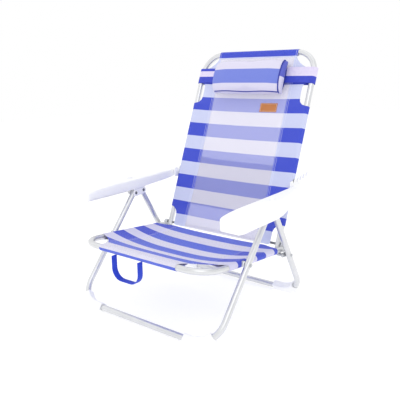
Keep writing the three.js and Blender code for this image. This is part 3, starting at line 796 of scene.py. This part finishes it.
def back_panel():
    half = [
        (0, -0.008), (0.196, -0.008), (0.204, -0.004), (0.204, 0.034), (0.208, 0.046),
        (0.218, 0.056), (0.2285, 0.060), (BACK_REACH, 0.060), (BACK_REACH, 0.455),
        (0.240, 0.455), (0.2285, 0.4555), (0.214, 0.460), (0.205, 0.469), (0.202, 0.480),
        (0.201, 0.500), (0.202, 0.520), (0.206, 0.529), (0.214, 0.532), (BACK_REACH, 0.532),
        (BACK_REACH, 0.579), (0.2285, 0.579), (0.216, 0.5815), (0.205, 0.586),
        (0.190, 0.593), (0.177, 0.602), (0.166, 0.613), (0.161, 0.623), (0.161, 0.690),
        (0, 0.690),
    ]
    edge = mirrored(half)
    hole_at = BACK_X + WRAP / 2
    holes = [bolt_hole(hole_at, NOTCH_BOLT_UP), bolt_hole(-hole_at, NOTCH_BOLT_UP)]
    rows = span(-0.004, BACK_LENGTH, 0.0085) + span(BACK_LENGTH + 0.002, 0.688, 0.0026)
    piece = cloth("striped_back", edge, holes, wrap_columns(BACK_X, BACK_REACH), rows, lay_back)
    finish_cloth(piece, BACK_MESH, "backrest", "stretched", ["back_tube"], "back_panel")


def finish_cloth(piece, material, body, held, rests_on, *nodes, slot="striped_mesh"):
    width, length, area = piece["flat"]
    del piece["flat"]
    modify(piece, "SOLIDIFY", thickness=CLOTH, offset=0)
    smooth(piece, 60)
    settle(piece, body, slot, material, *nodes)
    print("cloth", piece.name, round(width, 4), round(length, 4), round(area, 4),
          len(piece.data.polygons))


SEAT_HEM_TO = 0.170
SEAT_REACH = SEAT_X + WRAP + (SEAT_X - SEAT_HEM_TO)


def seat_slack(x, t):
    """How far the seat's cloth hangs below the rails' tops."""
    across = 1 - min(1, abs(x) / SEAT_X) ** 2.8
    along = smoothstep(-0.01, 0.17, t) * (1 - 0.68 * smoothstep(0.2, 0.39, t))
    return 0.026 * across * along


def lay_seat(p, t):
    side = -1 if p < 0 else 1
    reach = abs(p)
    if t < 0:
        around = -t / SLEEVE_R
        if around <= math.pi:
            return on_seat(p, -SLEEVE_R * math.sin(around), SLEEVE_R * math.cos(around))
        back = -t - WRAP
        hang = 0.004 * (1 - (p / 0.16) ** 2) * math.sin(math.pi * min(1, back / 0.05))
        share = min(1, back / 0.052)
        up = -SLEEVE_R + share * (2 * SLEEVE_R - seat_slack(p, back) - 0.002)
        return on_seat(p, back, up - max(0, hang))
    x, up = round_tube(reach, SEAT_X, SLEEVE_R, SEAT_X - SEAT_HEM_TO, SEAT_HEM_TO)
    if reach <= SEAT_X:
        up -= seat_slack(x, t)
    elif reach > SEAT_X + WRAP:
        share = (SEAT_X - x) / (SEAT_X - SEAT_HEM_TO)
        goal = SLEEVE_R - seat_slack(x, t) - 0.0016
        up += share * (goal + SLEEVE_R)
    return on_seat(side * x, t, up)


def seat_panel():
    under = -(WRAP + 0.050)
    half = [
        (0, under), (0.152, under), (0.152, 0.006), (0.158, 0.026), (0.172, 0.046),
        (0.192, 0.064), (0.216, 0.080), (0.236, 0.089), (0.249, 0.093), (SEAT_REACH, 0.095),
        (SEAT_REACH, 0.350), (0.262, 0.350), (0.249, 0.353), (0.234, 0.358),
        (0.216, 0.367), (0.200, 0.376), (0.190, 0.380), (0, 0.380),
    ]
    hole_at = SEAT_X + WRAP / 2
    along = (Vector(SEAT_PIN) - Vector(SEAT_FRONT)).dot(SEAT_LINE)
    holes = [bolt_hole(hole_at, along, 0.0115), bolt_hole(-hole_at, along, 0.0115)]
    rows = span(under + 0.004, -WRAP, 0.006) + span(-WRAP + 0.002, 0.004, 0.0026)
    rows += span(0.009, 0.376, 0.0085)
    piece = cloth("striped_seat", mirrored(half), holes, wrap_columns(SEAT_X, SEAT_REACH), rows,
                  lay_seat)
    finish_cloth(piece, SEAT_MESH, "seat", "stretched", ["seat_tube"], "seat_panel")


def rear_pocket():
    """A patch pocket behind the back, sewn at its sides and foot, with a doubled top hem."""
    def lay(p, s):
        across = max(0.0, 1 - (p / 0.170) ** 2)
        gape = 0.004 + 0.012 * across * smoothstep(0.078, 0.25, s)
        return on_back(p, s, SLEEVE_R - back_slack(p, s) - gape)

    edge = [(-0.170, 0.078), (0.168, 0.078), (0.168, 0.252), (0.05, 0.2545), (-0.08, 0.2545),
            (-0.150, 0.257), (-0.170, 0.262)]
    piece = cloth("rear_pocket_cloth", edge, [], span(-0.168, 0.166, 0.009),
                  span(0.08, 0.26, 0.009), lay)
    finish_cloth(piece, POCKET_MESH, "backrest", "stretched", ["striped_back"], "rear_pocket")


def headrest_band():
    """A loop of striped cloth round both back tubes, which carries the pillow."""
    radius = SLEEVE_R + 0.0018
    low, high = 0.533, 0.587
    whole = 4 * BACK_X + 2 * math.pi * radius

    def lay(p, s):
        p %= whole
        if p < 2 * BACK_X:
            return on_back(p - BACK_X, s, radius)
        p -= 2 * BACK_X
        if p < math.pi * radius:
            a = p / radius
            return on_back(BACK_X + radius * math.sin(a), s, radius * math.cos(a))
        p -= math.pi * radius
        if p < 2 * BACK_X:
            return on_back(BACK_X - p, s, -radius)
        a = (p - 2 * BACK_X) / radius
        return on_back(-BACK_X - radius * math.sin(a), s, -radius * math.cos(a))

    columns = []
    for begin, length, pitch in (
            (0, 2 * BACK_X, 0.012), (2 * BACK_X, math.pi * radius, 0.0026),
            (2 * BACK_X + math.pi * radius, 2 * BACK_X, 0.012),
            (4 * BACK_X + math.pi * radius, math.pi * radius, 0.0026)):
        columns += span(begin, begin + length, pitch)[:-1]
    edge = [(0, low), (whole, low), (whole, high), (0, high)]
    piece = cloth("pillow_band", edge, [], columns, span(low + 0.004, high - 0.004, 0.008), lay)
    only(piece)
    bpy.ops.object.mode_set(mode="EDIT")
    bpy.ops.mesh.select_all(action="SELECT")
    bpy.ops.mesh.remove_doubles(threshold=0.0001)
    close_edit()
    finish_cloth(piece, BAND, "headrest", "stretched", ["back_tube"], "headrest_band",
                 slot="pillow_cloth")


def band_cloth():
    m = Recipe("band_cloth")
    uv = m.parts(m.place("UV"))
    v = uv[1]
    low_blue = m.step(v, 0.5565, 0.5555)
    top_blue = m.step(v, 0.5765, 0.5775)
    left_end = m.math("MAXIMUM", m.step(uv[0], BACK_X + 0.001, BACK_X - 0.001),
                      m.step(uv[0], 3.9 * BACK_X, 3.9 * BACK_X + 0.001))
    blue = m.math("MAXIMUM", low_blue, m.math("MULTIPLY", top_blue, left_end))
    pitch = 2 * math.pi / 0.0016
    weave = m.math("MULTIPLY", m.math("SINE", m.math("MULTIPLY", uv[0], pitch)),
                   m.math("SINE", m.math("MULTIPLY", v, pitch)))
    fade = m.noise(m.place("UV"), 90, 4)
    deep = m.mix(fade, rgb(38, 52, 178), rgb(62, 78, 206))
    pale = m.mix(fade, rgb(208, 196, 232), rgb(232, 226, 244))
    m.set(Base_Color=m.mix(blue, pale, deep), Roughness=0.7)
    m.shader.inputs["Sheen Weight"].default_value = 0.12
    m.bump(m.math("MULTIPLY_ADD", weave, 0.4, fade), 0.35, 0.0004)
    return m.material


BAND = band_cloth()


# ---- pillow ----
PILLOW_LOW, PILLOW_HIGH = 0.481, 0.612
PILLOW_HALF = 0.142
PILLOW_MIDDLE = (PILLOW_LOW + PILLOW_HIGH) / 2
PILLOW_BACK = 0.0145


def pillow_outline(count=28):
    """The pillow from its end: a flat back and a full front, as (s, front)."""
    reach = (PILLOW_HIGH - PILLOW_LOW) / 2
    shape = []
    for i in range(count + 1):
        a = math.pi * i / count
        front = 0.017 + 0.036 * math.sin(a) ** 0.75
        shape.append((PILLOW_MIDDLE - reach * math.cos(a), front))
    return shape + [(PILLOW_HIGH - 0.004, PILLOW_BACK), (PILLOW_LOW + 0.004, PILLOW_BACK)]


def pillow():
    shape = bmesh.new()
    rings = []
    for x in span(-PILLOW_HALF, PILLOW_HALF, 0.009):
        pinch = 1 - 0.10 * smoothstep(0.55, 1.0, abs(x) / PILLOW_HALF)
        ring = []
        for s, front in pillow_outline():
            up = PILLOW_MIDDLE + (s - PILLOW_MIDDLE) * pinch
            ring.append(shape.verts.new(on_back(x, up, PILLOW_BACK + (front - PILLOW_BACK) * pinch)))
        rings.append(ring)
    count = len(rings[0])
    for a, b in zip(rings, rings[1:]):
        for i in range(count):
            shape.faces.new((a[i], a[(i + 1) % count], b[(i + 1) % count], b[i]))
    shape.faces.new(list(reversed(rings[0])))
    shape.faces.new(rings[-1])
    bmesh.ops.recalc_face_normals(shape, faces=shape.faces)
    mesh = bpy.data.meshes.new("head_pillow")
    shape.to_mesh(mesh)
    shape.free()
    piece = bpy.data.objects.new("head_pillow", mesh)
    bpy.context.scene.collection.objects.link(piece)
    modify(piece, "REMESH", mode="VOXEL", voxel_size=0.0045)
    puff(piece, 3.5, 0.007)
    modify(piece, "SMOOTH", iterations=3, factor=0.4)
    modify(piece, "SUBSURF", levels=1, render_levels=1)
    smooth(piece, 80)
    settle(piece, "headrest", "pillow_cloth", PILLOW, "headrest_pillow")
    return piece


def puff(piece, pressure, cap):
    """Fills a closed cloth skin, and holds each point within cap of where it began."""
    before = [v.co.copy() for v in piece.data.vertices]
    added = piece.modifiers.new("cloth", "CLOTH")
    settings = added.settings
    settings.quality = 4
    settings.mass = 0.2
    settings.tension_stiffness = 12
    settings.compression_stiffness = 12
    settings.bending_stiffness = 0.4
    settings.use_pressure = True
    settings.uniform_pressure_force = pressure
    settings.effector_weights.gravity = 0
    added.point_cache.frame_start = 1
    added.point_cache.frame_end = 20
    scene = bpy.context.scene
    for number in range(1, 21):
        scene.frame_set(number)
    only(piece)
    bpy.ops.object.modifier_apply(modifier=added.name)
    scene.frame_set(1)
    for v, old in zip(piece.data.vertices, before):
        moved = v.co - old
        if moved.length > cap:
            v.co = old + moved.normalized() * cap


def bead(name, points, radius, body, slot, material, closed=False):
    """A round binding or thread along the points."""
    curve = bpy.data.curves.new(name, "CURVE")
    curve.dimensions = "3D"
    curve.bevel_depth = radius
    curve.bevel_resolution = 2
    curve.use_fill_caps = True
    spline = curve.splines.new("POLY")
    spline.points.add(len(points) - 1)
    spline.use_cyclic_u = closed
    for point, place in zip(spline.points, points):
        point.co = (*place, 1)
    piece = bpy.data.objects.new(name, curve)
    bpy.context.scene.collection.objects.link(piece)
    only(piece)
    bpy.ops.object.convert(target="MESH")
    piece = bpy.context.active_object
    smooth(piece, 60)
    return settle(piece, body, slot, material)


def surface_at(piece, place, towards):
    """Where a line through a place meets the piece, coming from the sitter's side."""
    hit, where, *_ = piece.ray_cast(place + towards * 0.2, -towards)
    return where if hit else place


def pillow_trim(piece):
    """Binding along the pillow's lower edge and round its right end."""
    outward = on_back(0, 0, 1) - on_back(0, 0, 0)
    low = [surface_at(piece, on_back(x, PILLOW_LOW + 0.011, 0), outward)
           for x in span(-0.130, 0.130, 0.006)]
    for _ in range(4):
        low = [low[0]] + [(a + 2 * b + c) / 4 for a, b, c in zip(low, low[1:], low[2:])] + [low[-1]]
    low = [p + outward * 0.0006 for p in low]
    bead("pillow_lower_binding", low, 0.0020, "headrest", "pillow_cloth", PIPING)
    end = []
    for i in range(24):
        a = 2 * math.pi * i / 24
        end.append(on_back(PILLOW_HALF - 0.009, PILLOW_MIDDLE + 0.056 * math.cos(a),
                           0.032 + 0.021 * math.sin(a)))
    bead("pillow_end_binding", end, 0.0022, "headrest", "pillow_cloth", PIPING, closed=True)


# ---- patch, handle and small trims ----
def panel_face(x, s, lift=0.0):
    return on_back(x, s, SLEEVE_R - back_slack(x, s) + CLOTH / 2 + lift)


def sewn_patch():
    """A blank patch with a stitched edge, lying on the back's cloth."""
    left, right, low, high = 0.0515, 0.1195, 0.433, 0.464
    middle_x, middle_s = (left + right) / 2, (low + high) / 2
    patch = start(bpy.ops.mesh.primitive_grid_add, "tan_patch", x_subdivisions=12,
                  y_subdivisions=6, size=1)
    bpy.ops.transform.resize(value=(right - left, high - low, 1))
    close_edit()
    for v in patch.data.vertices:
        v.co = panel_face(middle_x + v.co.x, middle_s + v.co.y, 0.0008)
    modify(patch, "SOLIDIFY", thickness=0.0012, offset=0)
    modify(patch, "BEVEL", width=0.0003, segments=2, limit_method="ANGLE")
    smooth(patch, 45)
    settle(patch, "backrest", "tan_patch", TAN, "sewn_patch")
    inset = 0.0028
    corners = [(left + inset, low + inset), (right - inset, low + inset),
               (right - inset, high - inset), (left + inset, high - inset)]
    stitches = []
    line = [Vector(p) for p in corners]
    for i, a in enumerate(line):
        b = line[(i + 1) % 4]
        count = round((b - a).length / 0.0035)
        for k in range(count):
            p, q = a.lerp(b, (k + 0.15) / count), a.lerp(b, (k + 0.8) / count)
            crown = p.lerp(q, 0.5)
            line_of_thread = [panel_face(p.x, p.y, 0.0013), panel_face(crown.x, crown.y, 0.0019),
                              panel_face(q.x, q.y, 0.0013)]
            stitches.append(bead("stitch", line_of_thread, 0.0004, "backrest", "tan_patch", THREAD))
    joined("patch_stitches", stitches)


def carry_handle():
    """A loop of webbing below the seat's front bar."""
    left, right = -0.097, 0.010
    low = SEAT_FRONT[1] - 0.086
    top = SEAT_FRONT[1] - TUBE_R - 0.0048
    radius = 0.034
    line = [(left, top), (left, (top + low) / 2 + 0.01)]
    line += arc((left + radius, low + radius), radius, 180, 270, 8)
    line += arc((right - radius, low + radius), radius, 270, 360, 8)
    line += [(right, (top + low) / 2 + 0.01), (right, top)]
    y = SEAT_FRONT[0] - 0.001
    half = 0.010
    strap = start(bpy.ops.mesh.primitive_plane_add, "webbing_handle", size=1)
    bpy.ops.mesh.delete(type="VERT")
    close_edit()
    shape = bmesh.new()
    rails = []
    for x, z in line:
        rails.append([shape.verts.new(at(x, y + w, z)) for w in (-half, -half / 3, half / 3, half)])
    for a, b in zip(rails, rails[1:]):
        for i in range(3):
            shape.faces.new((a[i], a[i + 1], b[i + 1], b[i]))
    bmesh.ops.recalc_face_normals(shape, faces=shape.faces)
    shape.to_mesh(strap.data)
    shape.free()
    modify(strap, "SOLIDIFY", thickness=0.0022, offset=0)
    modify(strap, "BEVEL", width=0.0006, segments=2, limit_method="ANGLE")
    smooth(strap, 50)
    settle(strap, "handle", "blue_webbing", WEBBING, "carry_handle")


# ---- stage ----
def studio():
    scene = bpy.context.scene
    scene.view_settings.view_transform = "Standard"
    bpy.ops.object.select_all(action="DESELECT")
    bpy.ops.mesh.primitive_plane_add(size=14, location=(0, 2.0, -0.0003))
    floor = bpy.context.active_object
    floor.name = "studio_floor"
    bpy.ops.object.transform_apply(location=True, rotation=True, scale=True)
    m = Recipe("pale_floor")
    cloud = m.noise(m.place(), 3, 2)
    m.set(Base_Color=m.mix(cloud, rgb(196, 196, 196), rgb(200, 200, 200)), Roughness=0.9)
    m.shader.inputs["Specular IOR Level"].default_value = 0.05
    m.shader.inputs["Emission Color"].default_value = (1, 1, 1, 1)
    m.shader.inputs["Emission Strength"].default_value = 0.58
    floor.data.materials.append(m.material)
    world = bpy.data.worlds.new("soft_white")
    scene.world = world
    world.use_nodes = True
    world.node_tree.nodes["Background"].inputs[0].default_value = (1, 1, 1, 1)
    world.node_tree.nodes["Background"].inputs[1].default_value = 1.0
    for name, place, size, power in (
            ("key", (1.6, -2.2, 2.6), 2.2, 14), ("fill", (-2.4, -1.2, 1.8), 2.6, 4),
            ("top", (0, 0.6, 3.0), 2.5, 5)):
        data = bpy.data.lights.new(name, "AREA")
        data.size = size
        data.energy = power
        lamp = bpy.data.objects.new(name, data)
        lamp.matrix_world = Matrix.Translation(place) @ (
            Vector((0, 0, 0.35)) - Vector(place)).to_track_quat("-Z", "Y").to_matrix().to_4x4()
        scene.collection.objects.link(lamp)


frames()
small_parts()
armrests()
seat_panel()
back_panel()
rear_pocket()
headrest_band()
head = pillow()
pillow_trim(head)
sewn_patch()
carry_handle()
studio()
